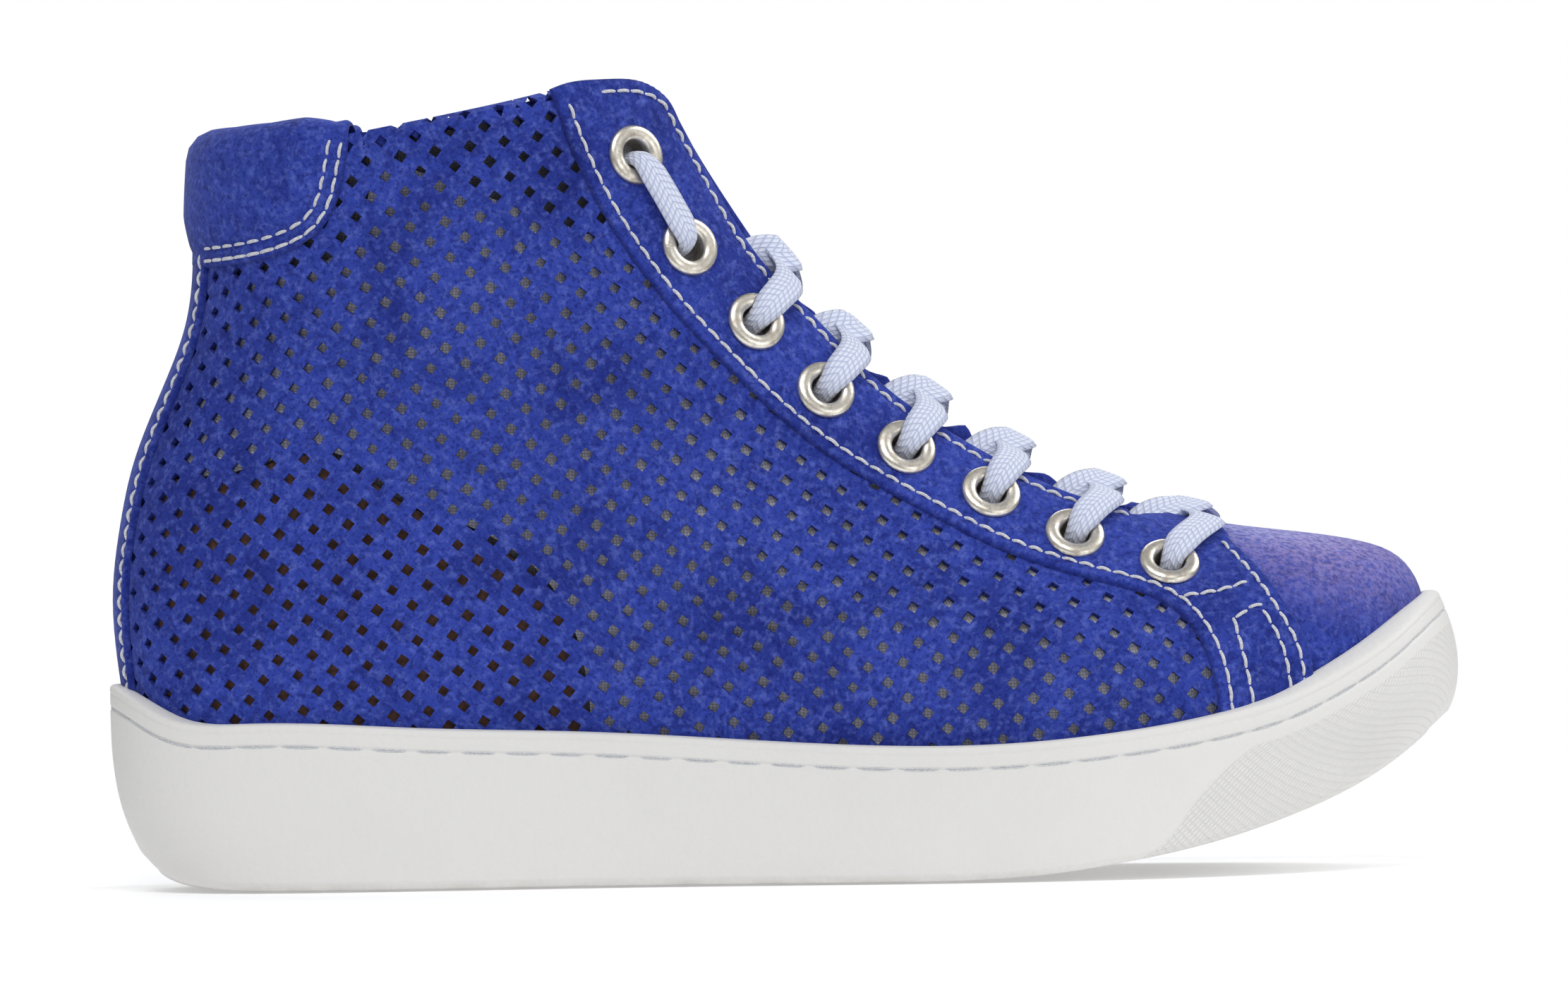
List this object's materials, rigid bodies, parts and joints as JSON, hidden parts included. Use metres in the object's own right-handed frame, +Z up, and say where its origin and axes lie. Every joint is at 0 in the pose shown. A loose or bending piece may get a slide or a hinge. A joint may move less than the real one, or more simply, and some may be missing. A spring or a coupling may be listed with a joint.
{
  "type": "high-top shoe",
  "caption": "Lace-up suede high top for a right foot, with perforated quarters, flat laces and a stitched white rubber cupsole.",
  "frame": {"origin": "on the ground, under the middle of the sole's outline", "axes": "+X from heel to toe, +Y towards the inner side of the foot, +Z up"},
  "size_m": [0.276, 0.095, 0.1636],
  "materials": {
    "sole_rubber": "matte",
    "midsole_foam": "matte",
    "shank_steel": "satin",
    "board": "matte",
    "sockliner": "matte",
    "suede": "napped, matte",
    "backing": "matte",
    "foam": "matte",
    "counter": "matte",
    "lining": "matte",
    "eyelet_metal": "satin, worn",
    "lace": "matte",
    "aglet": "gloss"
  },
  "bodies": {
    "shoe": {"cupsole": "sole_rubber", "midsole_wedge": "midsole_foam", "shank": "shank_steel", "insole_board": "board", "quarter_lateral": "suede", "quarter_medial": "suede", "eyestay_lateral": "suede", "eyestay_medial": "suede", "vamp": "suede", "backstay": "suede", "heel_collar": "suede", "quarter_backing_lateral": "backing", "quarter_backing_medial": "backing", "collar_foam": "foam", "eyestay_stiffener_lateral": "board", "eyestay_stiffener_medial": "board", "heel_counter": "counter", "toe_puff": "counter", "quarter_lining": "lining", "vamp_lining": "lining", "eyelets_lateral": "eyelet_metal", "eyelets_medial": "eyelet_metal", "eyelet_washers_lateral": "eyelet_metal", "eyelet_washers_medial": "eyelet_metal", "lace": "lace", "aglets": "aglet"},
    "tongue": {"tongue": "suede", "tongue_foam": "foam", "tongue_lining": "lining"},
    "sockliner": {"sockliner": "sockliner"}
  },
  "joints": [
    {"name": "tongue_hinge", "type": "hinge", "parent": "shoe", "child": "tongue", "pos_m": [0.0875, 0, 0.063], "axis": [0, 1, 0], "range_deg": [-12, 0]},
    {"name": "sockliner_lift", "type": "hinge", "parent": "shoe", "child": "sockliner", "pos_m": [0.12, 0, 0.034], "axis": [0, 1, 0], "range_deg": [0, 4]}
  ]
}
